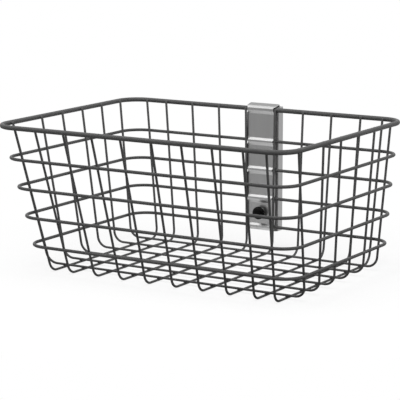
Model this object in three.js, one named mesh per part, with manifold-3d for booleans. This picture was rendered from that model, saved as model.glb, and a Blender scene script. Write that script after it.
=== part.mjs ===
// Cart wire basket: a welded wire basket with a sheet-metal clamp bracket on its back wall.
// Millimetres, +Z up, +X along the basket, +Y towards the cart that carries it.
// The front and the two ends lean outwards. The back wall stands upright so that it can lie on the cart.

import * as THREE from 'three';
import { mergeVertices } from 'three/addons/utils/BufferGeometryUtils.js';
import Module from 'manifold-3d';

// Wire stock
const RIM_DIAMETER = 6;
const HOOP_DIAMETER = 4;
const MESH_DIAMETER = 3;
// Hairline left between two wires that are welded where they cross
const WELD_GAP = 0.3;

// Basket, measured between the centres of the mesh wires
const MOUTH_LENGTH = 400;
const FLOOR_LENGTH = 367;
const MOUTH_WIDTH = 295;
const FLOOR_WIDTH = 244;
// Floor wires' centre to rim wire's centre
const RIM_HEIGHT = 186;
const RIM_CORNER_RADIUS = 29;
const HOOP_CORNER_RADIUS = 27;
const FLOOR_BEND_RADIUS = 14;
const TOP_HOOP_DROP = 41;
const LOWEST_HOOP_HEIGHT = 31.75;
const HOOP_COUNT = 4;
// How far the mesh wires' ends stand above the rim's mid-height
const LEG_RISE = 1;

// Wires that run from the front, under the floor, to the back, in pairs about the middle.
// The bracket stands between the innermost pair, which is set a little wider than the rest.
// The outermost pair stands closer to its neighbours, just before the rim and the hoops start to turn.
const CROSS_PAIRS = 5;
const CROSS_MOUTH_MIDDLE_PITCH = 43.3;
const CROSS_FLOOR_MIDDLE_PITCH = 38.6;
const CROSS_MOUTH_END_PITCH = 30.4;
const CROSS_FLOOR_END_PITCH = 27.8;
const CROSS_CORNER_MARGIN = 0.6;

// Wires that run from end to end, over the cross wires, with their own spacing next to the front
const LONG_COUNT = 6;
const LONG_MOUTH_FRONT_PITCH = 60.2;
const LONG_FLOOR_FRONT_PITCH = 35.2;
const LONG_BACK_CORNER_MARGIN = 3.8;
const LONG_MOUTH_CORNER_MARGIN = 6;
const LONG_FLOOR_CORNER_MARGIN = 5;

// Clamp plate: a pressed strip inside the back wall, with a bead over each hoop and a hook over the rim
const PLATE_SHEET = 1.5;
const PLATE_WIDTH = 41.6;
const PLATE_LEG_GAP = 0.4;
const PLATE_HOOP_GAP = 0.9;
// Heights of a bead's short upper side and of its longer lower side
const PLATE_BEAD_RISE = 3;
const PLATE_BEAD_FALL = 4.7;
// How far a bead's middle lies below its hoop
const PLATE_BEAD_DROP = 0.75;
const PLATE_NOTCH_INSET = 0.2;
const PLATE_BEND_INSIDE = 0.3;
const PLATE_TAIL = 3.4;
const HOOK_RIM_GAP = 5.3;
const HOOK_TOP_LIFT = 2.7;
const HOOK_LIP = 12;
const HOOK_BEND_INSIDE = 1.1;

// Back channel: a folded channel outside the back wall, wide enough for the hook's lip between its flanges.
// Its front edges turn in as rounded lips behind the rim.
const CHANNEL_SHEET = 1.5;
const CHANNEL_HOOK_GAP = 8.8;
const CHANNEL_FOLD_INSIDE = 1;
const CHANNEL_LIP = 6;
const CHANNEL_LIP_INSIDE = 3.4;
const CHANNEL_TOP_RISE = 2.5;
const CHANNEL_TAIL = 6.8;
const FIXING_HOLE_DIAMETER = 6.5;
const FIXING_HOLE_TOP_INSET = 39.875;
const FIXING_HOLE_ABOVE_SCREW = 28.9;

// Thumb screw: a domed knob that stands off the plate on a narrower collar
const SCREW_DROP = 0.9;
const STUD_DIAMETER = 6;
const STUD_END_INSET = 0.7;
const KNOB_DIAMETER = 16.8;
const KNOB_COLLAR_DIAMETER = 11;
const KNOB_COLLAR = 2.3;
const KNOB_SKIRT = 2.2;
const KNOB_CROWN = 4.3;
const KNOB_CROWN_WALL = 2.3;
const WASHER_BAND = 3.5;
const WASHER_THICKNESS = 1.2;
const NUT_WALL = 2;
const NUT_HEIGHT = 5;

// Clearances
const SEAT_GAP = 0.2;
const RUNNING_CLEARANCE = 0.3;
const WIRE_CLEARANCE = 0.9;

// Facets
const WIRE_SIDES = 8;
const BEND_STEPS = 6;
const SHEET_BEND_STEPS = 3;
const ROUND_SIDES = 24;

const rimRadius = RIM_DIAMETER / 2;
const hoopRadius = HOOP_DIAMETER / 2;
const meshRadius = MESH_DIAMETER / 2;

// Walls: where the mesh wires' centres stand at a height above the floor wires' centre
const backWall = MOUTH_WIDTH / 2;
const frontMouth = -MOUTH_WIDTH / 2;
const frontFloor = backWall - FLOOR_WIDTH;
const alongWall = (floor, mouth, z) => floor + ((mouth - floor) * z) / RIM_HEIGHT;
const endWallAt = (z) => alongWall(FLOOR_LENGTH / 2, MOUTH_LENGTH / 2, z);
const frontWallAt = (z) => alongWall(frontFloor, frontMouth, z);

// A wire lying on a leaning wall stands off by more than its own radius when measured level
const leanFactor = (run) => Math.hypot(run, RIM_HEIGHT) / RIM_HEIGHT;
const endLean = leanFactor((MOUTH_LENGTH - FLOOR_LENGTH) / 2);
const frontLean = leanFactor(frontMouth - frontFloor);

const hoopPitch = (RIM_HEIGHT - TOP_HOOP_DROP - LOWEST_HOOP_HEIGHT) / (HOOP_COUNT - 1);
const hoopHeights = [];
for (let i = 0; i < HOOP_COUNT; i += 1) {
  hoopHeights.push(RIM_HEIGHT - TOP_HOOP_DROP - i * hoopPitch);
}
const legTop = RIM_HEIGHT + LEG_RISE;

// Distance from a wall to where the rim, or a hoop, outside it starts to turn its corner
const rimStandOff = rimRadius + meshRadius + WELD_GAP;
const hoopStandOff = hoopRadius + meshRadius + WELD_GAP;
const rimTurn = (lean) => RIM_CORNER_RADIUS - rimStandOff * lean;
const hoopTurn = (lean) => HOOP_CORNER_RADIUS - hoopStandOff * lean;

// Cross wires: half the span between the outermost pair, and the spacing between that and the innermost pair
const crossCount = 2 * CROSS_PAIRS;
const crossMouthHalf = MOUTH_LENGTH / 2 - rimTurn(endLean) - CROSS_CORNER_MARGIN;
const crossFloorHalf = FLOOR_LENGTH / 2 - hoopTurn(endLean) - CROSS_CORNER_MARGIN;
const innerSteps = CROSS_PAIRS - 2;
const crossMouthPitch = (crossMouthHalf - CROSS_MOUTH_MIDDLE_PITCH / 2 - CROSS_MOUTH_END_PITCH) / innerSteps;
const crossFloorPitch = (crossFloorHalf - CROSS_FLOOR_MIDDLE_PITCH / 2 - CROSS_FLOOR_END_PITCH) / innerSteps;

// Cross wire k's place along X at a height, k counted from the left
function crossWireX(k, z) {
  const step = k - (crossCount - 1) / 2;
  const pair = Math.abs(step) - 0.5;
  const inner = Math.min(pair, innerSteps);
  const outer = pair - inner;
  const floor = CROSS_FLOOR_MIDDLE_PITCH / 2 + inner * crossFloorPitch + outer * CROSS_FLOOR_END_PITCH;
  const mouth = CROSS_MOUTH_MIDDLE_PITCH / 2 + inner * crossMouthPitch + outer * CROSS_MOUTH_END_PITCH;
  return Math.sign(step) * alongWall(floor, mouth, z);
}

// Long wires: the places of the first and the last, and the spacing of all but the last
const longBack = backWall - rimTurn(1) - LONG_BACK_CORNER_MARGIN;
const longFrontMouth = frontMouth + rimTurn(frontLean) + LONG_MOUTH_CORNER_MARGIN;
const longFrontFloor = frontFloor + hoopTurn(frontLean) + LONG_FLOOR_CORNER_MARGIN;
const longSteps = LONG_COUNT - 2;
const longMouthPitch = (longBack - longFrontMouth - LONG_MOUTH_FRONT_PITCH) / longSteps;
const longFloorPitch = (longBack - longFrontFloor - LONG_FLOOR_FRONT_PITCH) / longSteps;

// Long wire k's place along Y at a height, k counted from the back
function longWireY(k, z) {
  const front = k === LONG_COUNT - 1;
  const floor = front ? longFrontFloor : longBack - k * longFloorPitch;
  const mouth = front ? longFrontMouth : longBack - k * longMouthPitch;
  return alongWall(floor, mouth, z);
}

// Bracket levels along Y, from the back wall outwards
const hoopInside = backWall + meshRadius + WELD_GAP;
const rimOutside = hoopInside + RIM_DIAMETER;
const plateCrest = hoopInside - PLATE_HOOP_GAP - PLATE_SHEET;
const plateFlat = backWall + meshRadius + PLATE_LEG_GAP;
const hookBack = rimOutside + HOOK_RIM_GAP + PLATE_SHEET;
const channelFront = rimOutside + RUNNING_CLEARANCE;
const webInside = hookBack + CHANNEL_HOOK_GAP;
const channelBack = webInside + CHANNEL_SHEET;
const washerBack = plateFlat - SEAT_GAP;
const knobBack = washerBack - WASHER_THICKNESS - SEAT_GAP;
const nutBack = webInside - SEAT_GAP;

// Bracket levels along Z
const channelLow = LOWEST_HOOP_HEIGHT - CHANNEL_TAIL;
const channelHigh = RIM_HEIGHT + CHANNEL_TOP_RISE;
const screwHeight = LOWEST_HOOP_HEIGHT + hoopPitch / 2 - SCREW_DROP;

// The plate's front face goes round each wire at the wire's radius, a clearance and the sheet's thickness.
// A bead's crest is as tall as if its faces touched a circle of that size.
const wrapRadius = (wireRadius) => wireRadius + RUNNING_CLEARANCE + PLATE_SHEET;
const rimWrap = wrapRadius(rimRadius);
const riseLean = Math.atan2(plateFlat - plateCrest, PLATE_BEAD_RISE);
const fallLean = Math.atan2(plateFlat - plateCrest, PLATE_BEAD_FALL);
const plateBend = PLATE_SHEET + PLATE_BEND_INSIDE;
const hookBend = PLATE_SHEET + HOOK_BEND_INSIDE;
const hookTop = RIM_HEIGHT + rimWrap + HOOK_TOP_LIFT;

// The innermost pair of cross wires stands on either side of the beads and the hook
const clearHalfWidth = (z) => crossWireX(CROSS_PAIRS, z) - meshRadius - WIRE_CLEARANCE;

const studRadius = STUD_DIAMETER / 2;
const clearHoleRadius = studRadius + RUNNING_CLEARANCE;
const knobBrim = KNOB_COLLAR + KNOB_SKIRT;
const socketDepth = knobBrim + KNOB_CROWN - KNOB_CROWN_WALL;

const wasm = await Module();
wasm.setup();

const wireFinish = { color: 0x3f4043, roughness: 0.5, metalness: 0.2 };
const sheetFinish = { color: 0xa9abad, roughness: 0.34, metalness: 0.9 };
const zincFinish = { color: 0xb9bbbd, roughness: 0.3, metalness: 0.95 };
const knobFinish = { color: 0x141415, roughness: 0.45, metalness: 0 };

// A bent wire's centre line: straight runs between points that already hold the rounded bends.
// The section's flat sides face along the line's own plane and square to it.
class WireLine extends THREE.Curve {
  constructor(points, planeNormal, closed) {
    super();
    this.points = points;
    this.planeNormal = planeNormal;
    this.closed = closed;
    this.spans = closed ? points.length : points.length - 1;
  }

  pointAt(i) {
    return this.points[((i % this.points.length) + this.points.length) % this.points.length];
  }

  getPoint(t, target = new THREE.Vector3()) {
    const place = t * this.spans;
    const i = Math.min(Math.floor(place), this.spans - 1);
    return target.lerpVectors(this.pointAt(i), this.pointAt(i + 1), place - i);
  }

  getPointAt(t, target) {
    return this.getPoint(t, target);
  }

  tangentAt(i) {
    const first = !this.closed && i === 0;
    const last = !this.closed && i === this.spans;
    const before = new THREE.Vector3().subVectors(this.pointAt(i), this.pointAt(i - 1)).normalize();
    const after = new THREE.Vector3().subVectors(this.pointAt(i + 1), this.pointAt(i)).normalize();
    if (first) return after;
    if (last) return before;
    return before.add(after).normalize();
  }

  computeFrenetFrames(segments) {
    const halfFacet = Math.PI / WIRE_SIDES;
    const frames = { tangents: [], normals: [], binormals: [] };
    for (let i = 0; i <= segments; i += 1) {
      const tangent = this.tangentAt(i);
      const inPlane = new THREE.Vector3().crossVectors(this.planeNormal, tangent).normalize();
      const normal = inPlane.applyAxisAngle(tangent, halfFacet);
      frames.tangents.push(tangent);
      frames.normals.push(normal);
      frames.binormals.push(new THREE.Vector3().crossVectors(tangent, normal));
    }
    return frames;
  }
}

// Points of an arc that rounds the corner between three points
function cornerArc(before, corner, after, radius, steps) {
  const back = new THREE.Vector3().subVectors(before, corner).normalize();
  const ahead = new THREE.Vector3().subVectors(after, corner).normalize();
  const opening = back.angleTo(ahead);
  const turn = Math.PI - opening;
  const middle = new THREE.Vector3().addVectors(back, ahead).normalize();
  const centre = corner.clone().addScaledVector(middle, radius / Math.sin(opening / 2));
  const start = corner.clone().addScaledVector(back, radius / Math.tan(opening / 2)).sub(centre);
  const axis = new THREE.Vector3().crossVectors(ahead, back).normalize().negate();
  const points = [];
  for (let i = 0; i <= steps; i += 1) {
    points.push(start.clone().applyAxisAngle(axis, (-turn * i) / steps).add(centre));
  }
  return points;
}

// An open route with its inner corners rounded
function roundedRoute(corners, radii, steps) {
  const points = [corners[0]];
  for (let i = 1; i < corners.length - 1; i += 1) {
    points.push(...cornerArc(corners[i - 1], corners[i], corners[i + 1], radii[i - 1], steps));
  }
  points.push(corners[corners.length - 1]);
  return points;
}

// A closed route with every corner rounded
function roundedLoop(corners, radius, steps) {
  const n = corners.length;
  const points = [];
  corners.forEach((corner, i) => {
    points.push(...cornerArc(corners[(i + n - 1) % n], corner, corners[(i + 1) % n], radius, steps));
  });
  return points;
}

// Flat-sided section whose flats, not its corners, lie at the wire's radius
const sectionRadius = (radius) => radius / Math.cos(Math.PI / WIRE_SIDES);

function openWire(points, planeNormal, radius) {
  const line = new WireLine(points, planeNormal, false);
  const section = new THREE.Shape();
  section.absarc(0, 0, sectionRadius(radius), 0, 2 * Math.PI);
  const options = {
    steps: line.spans,
    curveSegments: WIRE_SIDES / 2,
    bevelEnabled: false,
    extrudePath: line,
  };
  return new THREE.ExtrudeGeometry(section, options);
}

function closedWire(points, planeNormal, radius) {
  const line = new WireLine(points, planeNormal, true);
  return new THREE.TubeGeometry(line, line.spans, sectionRadius(radius), WIRE_SIDES, true);
}

// The rim and the hoops lie outside the mesh wires on all four walls
function hoop(z, radius, standOff, cornerRadius) {
  const end = endWallAt(z) + standOff * endLean;
  const front = frontWallAt(z) - standOff * frontLean;
  const back = backWall + standOff;
  const corners = [
    new THREE.Vector3(end, front, z),
    new THREE.Vector3(end, back, z),
    new THREE.Vector3(-end, back, z),
    new THREE.Vector3(-end, front, z),
  ];
  const points = roundedLoop(corners, cornerRadius, BEND_STEPS);
  return closedWire(points, new THREE.Vector3(0, 0, 1), radius);
}

// A mesh wire: a leg up one wall, the floor run, and a leg up the wall opposite, all in one leaning plane
function meshWire(corners) {
  const floorRun = new THREE.Vector3().subVectors(corners[2], corners[1]);
  const leg = new THREE.Vector3().subVectors(corners[0], corners[1]);
  const planeNormal = new THREE.Vector3().crossVectors(floorRun, leg).normalize();
  const radii = [FLOOR_BEND_RADIUS, FLOOR_BEND_RADIUS];
  return openWire(roundedRoute(corners, radii, BEND_STEPS), planeNormal, meshRadius);
}

function crossWire(k) {
  const top = crossWireX(k, legTop);
  const floor = crossWireX(k, 0);
  return meshWire([
    new THREE.Vector3(top, frontWallAt(legTop), legTop),
    new THREE.Vector3(floor, frontWallAt(0), 0),
    new THREE.Vector3(floor, backWall, 0),
    new THREE.Vector3(top, backWall, legTop),
  ]);
}

function longWire(k) {
  const level = MESH_DIAMETER + WELD_GAP;
  const top = longWireY(k, legTop);
  const floor = longWireY(k, level);
  return meshWire([
    new THREE.Vector3(-endWallAt(legTop), top, legTop),
    new THREE.Vector3(-endWallAt(level), floor, level),
    new THREE.Vector3(endWallAt(level), floor, level),
    new THREE.Vector3(endWallAt(legTop), top, legTop),
  ]);
}

// Closed geometry to a solid for cutting, and back
function toSolid(geometry) {
  const bare = geometry.clone();
  bare.deleteAttribute('normal');
  bare.deleteAttribute('uv');
  const merged = mergeVertices(bare);
  const vertProperties = new Float32Array(merged.attributes.position.array);
  const triVerts = new Uint32Array(merged.index.array);
  return new wasm.Manifold(new wasm.Mesh({ numProp: 3, vertProperties, triVerts }));
}

function toGeometry(solid) {
  const mesh = solid.getMesh();
  const geometry = new THREE.BufferGeometry();
  geometry.setAttribute('position', new THREE.BufferAttribute(mesh.vertProperties, 3));
  geometry.setIndex(new THREE.BufferAttribute(mesh.triVerts, 1));
  geometry.computeVertexNormals();
  return geometry;
}

function cut(geometry, tools) {
  return toGeometry(tools.reduce((solid, tool) => solid.subtract(toSolid(tool)), toSolid(geometry)));
}

function boxBetween(low, high) {
  const size = new THREE.Vector3().subVectors(high, low);
  const middle = new THREE.Vector3().addVectors(low, high).multiplyScalar(0.5);
  return new THREE.BoxGeometry(size.x, size.y, size.z).translate(middle.x, middle.y, middle.z);
}

// A round bar or drill along Y between two depths
function roundAlongY(radius, from, to, x, z) {
  const bar = new THREE.CylinderGeometry(radius, radius, to - from, ROUND_SIDES);
  return bar.translate(x, (from + to) / 2, z);
}

// A flat outline in the YZ plane carried along X, centred on the bracket
function alongX(outline, width) {
  const options = { depth: width, bevelEnabled: false };
  const turn = new THREE.Matrix4().makeBasis(
    new THREE.Vector3(0, 1, 0),
    new THREE.Vector3(0, 0, 1),
    new THREE.Vector3(1, 0, 0),
  );
  return new THREE.ExtrudeGeometry(outline, options).applyMatrix4(turn).translate(-width / 2, 0, 0);
}

// An outline in the XZ plane carried along Y between two depths
function alongY(outline, from, to) {
  const options = { depth: to - from, bevelEnabled: false, curveSegments: ROUND_SIDES / 2 };
  return new THREE.ExtrudeGeometry(outline, options).rotateX(Math.PI / 2).translate(0, to, screwHeight);
}

// Bent sheet: an outline whose second side lies one sheet thickness to the right of its first
function sheetOutline(route, thickness) {
  const flat = route.map((point) => new THREE.Vector2(point.y, point.z));
  const rightOf = (a, b) => {
    const along = new THREE.Vector2().subVectors(b, a).normalize();
    return new THREE.Vector2(along.y, -along.x);
  };
  const second = flat.map((point, i) => {
    const before = i > 0 ? rightOf(flat[i - 1], point) : rightOf(point, flat[i + 1]);
    const after = i < flat.length - 1 ? rightOf(point, flat[i + 1]) : before;
    const middle = new THREE.Vector2().addVectors(before, after).normalize();
    return point.clone().addScaledVector(middle, thickness / middle.dot(before));
  });
  return new THREE.Shape([...flat, ...second.reverse()]);
}

// Heights of a bead on the plate's front face, from the lower flat to the upper one
function beadLevels(middle, wireRadius) {
  const crestLow = middle - wrapRadius(wireRadius) * Math.tan(fallLean / 2);
  const crestHigh = middle + wrapRadius(wireRadius) * Math.tan(riseLean / 2);
  return { low: crestLow - PLATE_BEAD_FALL, crestLow, crestHigh, high: crestHigh + PLATE_BEAD_RISE };
}

const hoopBeads = hoopHeights.map((height) => beadLevels(height - PLATE_BEAD_DROP, hoopRadius));
const rimBead = beadLevels(RIM_HEIGHT, rimRadius);
const hookHalfWidth = clearHalfWidth(rimBead.low);

function platePoint(y, z) {
  return new THREE.Vector3(0, y, z);
}

// The plate's front face, from its tail under the lowest hoop up to the lip of the hook
function plateRoute() {
  const beads = [...hoopBeads].reverse();
  const tailBack = PLATE_TAIL * Math.tan(fallLean);
  const corners = [platePoint(plateCrest + tailBack, beads[0].crestLow - PLATE_TAIL)];
  beads.forEach((bead, i) => {
    if (i > 0) corners.push(platePoint(plateFlat, bead.low));
    corners.push(platePoint(plateCrest, bead.crestLow));
    corners.push(platePoint(plateCrest, bead.crestHigh));
    corners.push(platePoint(plateFlat, bead.high));
  });
  // The hook turns over the rim in two half-right-angle bends
  const shoulder = rimWrap * Math.tan(Math.PI / 8);
  corners.push(platePoint(plateFlat, rimBead.low));
  corners.push(platePoint(plateCrest, rimBead.crestLow));
  corners.push(platePoint(plateCrest, RIM_HEIGHT + shoulder));
  corners.push(platePoint(plateCrest + rimWrap - shoulder, RIM_HEIGHT + rimWrap));
  corners.push(platePoint(hookBack, hookTop));
  corners.push(platePoint(hookBack, hookTop - HOOK_LIP));
  const radii = corners.slice(1, -1).map(() => plateBend);
  radii[radii.length - 1] = hookBend;
  return roundedRoute(corners, radii, SHEET_BEND_STEPS);
}

function clampPlate() {
  const tools = [];
  // Side notches let the beads and the hook pass between the two back legs, and the lip into the channel
  const notch = (low, high, halfWidth) => {
    [-1, 1].forEach((side) => {
      const near = new THREE.Vector3(side * halfWidth, plateCrest - PLATE_SHEET, low);
      const far = new THREE.Vector3(side * PLATE_WIDTH, hookBack + PLATE_SHEET, high);
      const lowCorner = near.clone().min(far);
      const highCorner = near.clone().max(far);
      tools.push(boxBetween(lowCorner, highCorner));
    });
  };
  hoopBeads.forEach((bead) => {
    notch(bead.low + PLATE_NOTCH_INSET, bead.high - PLATE_NOTCH_INSET, clearHalfWidth(bead.low));
  });
  notch(rimBead.low + PLATE_NOTCH_INSET, channelHigh + RUNNING_CLEARANCE, hookHalfWidth);
  tools.push(roundAlongY(clearHoleRadius, plateCrest, hookBack, 0, screwHeight));
  return cut(alongX(sheetOutline(plateRoute(), PLATE_SHEET), PLATE_WIDTH), tools);
}

// The channel's flanges clear the sides of the hook's lip, and its lips' bends end in front of it
const channelHalf = hookHalfWidth + RUNNING_CLEARANCE + CHANNEL_SHEET;
const lipRoom = rimOutside + HOOK_RIM_GAP - channelFront - CHANNEL_SHEET;
const lipInside = Math.min(CHANNEL_LIP_INSIDE, lipRoom);

// Channel section in plan: two flanges reaching forward from a web, each with a lip that turns in
function channelSection() {
  const plan = (x, y) => new THREE.Vector3(0, x, y);
  const corners = [
    plan(channelHalf - CHANNEL_LIP, channelFront),
    plan(channelHalf, channelFront),
    plan(channelHalf, channelBack),
    plan(-channelHalf, channelBack),
    plan(-channelHalf, channelFront),
    plan(CHANNEL_LIP - channelHalf, channelFront),
  ];
  const fold = CHANNEL_SHEET + CHANNEL_FOLD_INSIDE;
  const lip = CHANNEL_SHEET + lipInside;
  const route = roundedRoute(corners, [lip, fold, fold, lip], SHEET_BEND_STEPS).reverse();
  return sheetOutline(route, CHANNEL_SHEET);
}

function backChannel() {
  const options = { depth: channelHigh - channelLow, bevelEnabled: false };
  const body = new THREE.ExtrudeGeometry(channelSection(), options).translate(0, 0, channelLow);
  const drills = [
    [clearHoleRadius, screwHeight],
    [FIXING_HOLE_DIAMETER / 2, screwHeight + FIXING_HOLE_ABOVE_SCREW],
    [FIXING_HOLE_DIAMETER / 2, channelHigh - FIXING_HOLE_TOP_INSET],
  ];
  const holes = drills.map(([radius, z]) => {
    return roundAlongY(radius, webInside - CHANNEL_SHEET, channelBack + CHANNEL_SHEET, 0, z);
  });
  return cut(body, holes);
}

function ringOutline(outer, holeRadius) {
  const hole = new THREE.Path();
  hole.absarc(0, 0, holeRadius, 0, 2 * Math.PI, true);
  outer.holes.push(hole);
  return outer;
}

function weldNut() {
  const corner = (studRadius + NUT_WALL) / Math.cos(Math.PI / 6);
  const points = [0, 1, 2, 3, 4, 5].map((i) => {
    const angle = (i * Math.PI) / 3;
    return new THREE.Vector2(corner * Math.cos(angle), corner * Math.sin(angle));
  });
  return alongY(ringOutline(new THREE.Shape(points), clearHoleRadius), nutBack - NUT_HEIGHT, nutBack);
}

function knobWasher() {
  const disc = new THREE.Shape();
  disc.absarc(0, 0, studRadius + WASHER_BAND, 0, 2 * Math.PI);
  return alongY(ringOutline(disc, clearHoleRadius), washerBack - WASHER_THICKNESS, washerBack);
}

function screwStud() {
  const front = knobBack - socketDepth + SEAT_GAP;
  return roundAlongY(studRadius, front, channelBack - STUD_END_INSET, 0, screwHeight);
}

// Low domed knob with a blind hole for the stud, turned about Y with its dome towards -Y
function thumbKnob() {
  const socket = studRadius + SEAT_GAP;
  const knobRadius = KNOB_DIAMETER / 2;
  const dome = new THREE.Path();
  dome.moveTo(0, socketDepth);
  dome.lineTo(socket, socketDepth);
  dome.lineTo(socket, 0);
  dome.lineTo(KNOB_COLLAR_DIAMETER / 2, 0);
  dome.lineTo(KNOB_COLLAR_DIAMETER / 2, KNOB_COLLAR);
  dome.lineTo(knobRadius, KNOB_COLLAR);
  dome.lineTo(knobRadius, knobBrim);
  dome.absellipse(0, knobBrim, knobRadius, KNOB_CROWN, 0, Math.PI / 2, false, 0);
  const profile = dome.getPoints(BEND_STEPS);
  profile[profile.length - 1].x = 0;
  const knob = new THREE.LatheGeometry(profile, ROUND_SIDES);
  return knob.rotateX(Math.PI).translate(0, knobBack, screwHeight);
}

const basket = new THREE.Group();

function piece(name, geometry, finish) {
  const mesh = new THREE.Mesh(geometry, new THREE.MeshStandardMaterial(finish));
  mesh.name = name;
  basket.add(mesh);
}

piece('rim_wire', hoop(RIM_HEIGHT, rimRadius, rimStandOff, RIM_CORNER_RADIUS), wireFinish);
hoopHeights.forEach((height, i) => {
  piece(`hoop_wire_${i + 1}`, hoop(height, hoopRadius, hoopStandOff, HOOP_CORNER_RADIUS), wireFinish);
});
for (let k = 0; k < crossCount; k += 1) {
  piece(`cross_wire_${String(k + 1).padStart(2, '0')}`, crossWire(k), wireFinish);
}
for (let k = 0; k < LONG_COUNT; k += 1) {
  piece(`long_wire_${k + 1}`, longWire(k), wireFinish);
}
piece('clamp_plate', clampPlate(), sheetFinish);
piece('back_channel', backChannel(), sheetFinish);
piece('weld_nut', weldNut(), zincFinish);
piece('knob_washer', knobWasher(), zincFinish);
piece('screw_stud', screwStud(), zincFinish);
piece('thumb_knob', thumbKnob(), knobFinish);

// Origin under the middle of the whole part, on the surface it stands on
const rimFront = frontWallAt(RIM_HEIGHT) - rimStandOff * frontLean - rimRadius;
basket.position.set(0, -(rimFront + channelBack) / 2, meshRadius);
basket.updateMatrixWorld(true);

export default basket;
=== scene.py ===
import math
from collections import namedtuple
from functools import partial
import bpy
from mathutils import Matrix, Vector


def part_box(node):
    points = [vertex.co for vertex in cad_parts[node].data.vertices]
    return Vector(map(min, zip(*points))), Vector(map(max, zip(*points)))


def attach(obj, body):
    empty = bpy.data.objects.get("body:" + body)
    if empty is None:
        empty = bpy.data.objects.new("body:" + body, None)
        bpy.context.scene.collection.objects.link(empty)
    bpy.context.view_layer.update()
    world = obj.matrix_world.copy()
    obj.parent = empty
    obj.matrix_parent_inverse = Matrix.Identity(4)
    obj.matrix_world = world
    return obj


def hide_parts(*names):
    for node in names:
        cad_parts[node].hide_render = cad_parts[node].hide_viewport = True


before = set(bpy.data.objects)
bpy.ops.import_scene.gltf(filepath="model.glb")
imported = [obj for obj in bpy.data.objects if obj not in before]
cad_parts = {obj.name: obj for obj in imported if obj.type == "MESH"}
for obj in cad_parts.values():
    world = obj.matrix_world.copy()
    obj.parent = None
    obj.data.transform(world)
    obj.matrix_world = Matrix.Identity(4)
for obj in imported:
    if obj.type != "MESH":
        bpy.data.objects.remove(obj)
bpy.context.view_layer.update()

from types import SimpleNamespace

import bmesh
import bpy
import numpy as np
from bpy.props import FloatProperty, FloatVectorProperty, IntProperty, PointerProperty

bl_info = {
    "name": "Cart Wire Basket",
    "version": (1, 0, 0),
    "blender": (4, 5, 0),
    "location": "View3D > Sidebar > Wire Basket",
    "description": "Dresses the cart wire basket with round wires, weld spots, a clamp bracket and a stage",
    "category": "Object",
}

# Points nearer than this are merged, and folds sharper than this stay sharp.
MERGE_DISTANCE = 1e-7
SMOOTH_ANGLE = math.radians(38)

# Facets and steps of the surfaces.
WIRE_END_RINGS = 4
SPOT_SIDES = 8
SPOT_RINGS = 7
HOLE_SIDES = 48
STUD_SIDES = 32
RING_SIDES = 72
SHEET_BEND_STEPS = 8
SHEET_CORNER_POINTS = 4
SHEET_FACE_POINTS = 5
PLATE_STEP = 0.00035
CHANNEL_STEP = 0.004
DOME_POINTS = 22
FACETS_PER_RIB = 6
STEPS_PER_PITCH = 8

# Places along a route that agree to this many digits are one point.
ROUTE_DIGITS = 7

# A sheet's outermost points on its flat faces lie this many edge roundings in from its sides.
SHEET_MARGIN = 2.5

# Shares of the knob's radius where the ribs start and over which they run in, and of the dome's height
# where they end.
RIB_START = 0.86
RIB_RUN_IN = 0.1
RIB_TOP = 0.35

X_AXIS = np.array([1.0, 0.0, 0.0])
Z_AXIS = np.array([0.0, 0.0, 1.0])

# Each lamp faces its target, and mirror reflections show it only where that is set.
Lamp = namedtuple("Lamp", "name power place target size mirrored")
LAMPS = (
    Lamp("top_lamp", "top_power", (0.0, -0.6, 2.1), (0.0, 0.0, 0.1), 2.4, False),
    Lamp("key_lamp", "key_power", (-0.85, -0.68, 1.3), (0.0, 0.14, 0.1), 1.0, True),
    Lamp("side_lamp", "side_power", (1.6, -0.1, 0.8), (0.1, 0.0, 0.1), 1.2, True),
)
SENSOR_WIDTH = 36.0
WHITE = (1.0, 1.0, 1.0, 1.0)
FLOOR_TONE = (0.8, 0.8, 0.8)

# The card's ends and changes in degrees from the front, and its radii and heights in metres.
CARD_ENDS = (-80.0, 165.0)
CARD_COLUMNS = 50
CARD_DARKENS = (-14.0, 26.0)
CARD_PALES = (104.0, 138.0)
CARD_NEARS = (0.0, 40.0)
CARD_NEAR = (0.22, 0.06)
CARD_FOLD = 0.50
CARD_OUTER = 1.10
CARD_LIFT = 0.001
CARD_TOP = 0.95


def numbered(stem):
    """Names of the CAD nodes of one kind, in order."""
    return sorted(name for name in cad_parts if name.startswith(stem))


CROSS_NODES = numbered("cross_wire_")
LONG_NODES = numbered("long_wire_")
HOOP_NODES = numbered("hoop_wire_")


def number(name, description, default, **limits):
    """A number for the sidebar, with its limits and its unit."""
    return FloatProperty(name=name, description=description, default=default, **limits)


length = partial(number, unit="LENGTH", precision=5)
share = partial(number, min=0.0, max=1.0)
angle = partial(number, subtype="ANGLE")
power = partial(number, min=0.0, unit="POWER")


def count(name, description, default, low, high):
    """A whole number for the sidebar."""
    return IntProperty(name=name, description=description, default=default, min=low, max=high)


def colour(name, description, default):
    """A linear colour for the sidebar."""
    return FloatVectorProperty(name=name, description=description, default=default, subtype="COLOR", size=3)


class WireSettings(bpy.types.PropertyGroup):
    """Sizes of the bent wires that the CAD boxes do not show."""
    rim_corner: length("Rim corner", "Bend radius of the rim wire at its corners", 0.029)
    hoop_corner: length("Hoop corner", "Bend radius of the hoops at their corners", 0.027)
    floor_bend: length("Floor bend", "Bend radius where a wall wire turns into the floor", 0.014)
    leg_rise: length("Leg rise", "How far the wall wires end above the rim's middle", 0.001)
    weld_reach: length("Weld reach", "Half width of a weld spot along the wires", 0.00165)
    weld_depth: length("Weld depth", "Half depth of a weld spot from wire to wire", 0.0010)
    end_round: share("End rounding", "Depth of a wire's rounded end as a share of its radius", 0.4)
    sides: count("Sides", "Facets round a wire", 20, 8, 32)
    bend_steps: count("Bend steps", "Facets along a bend", 18, 4, 48)


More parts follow.
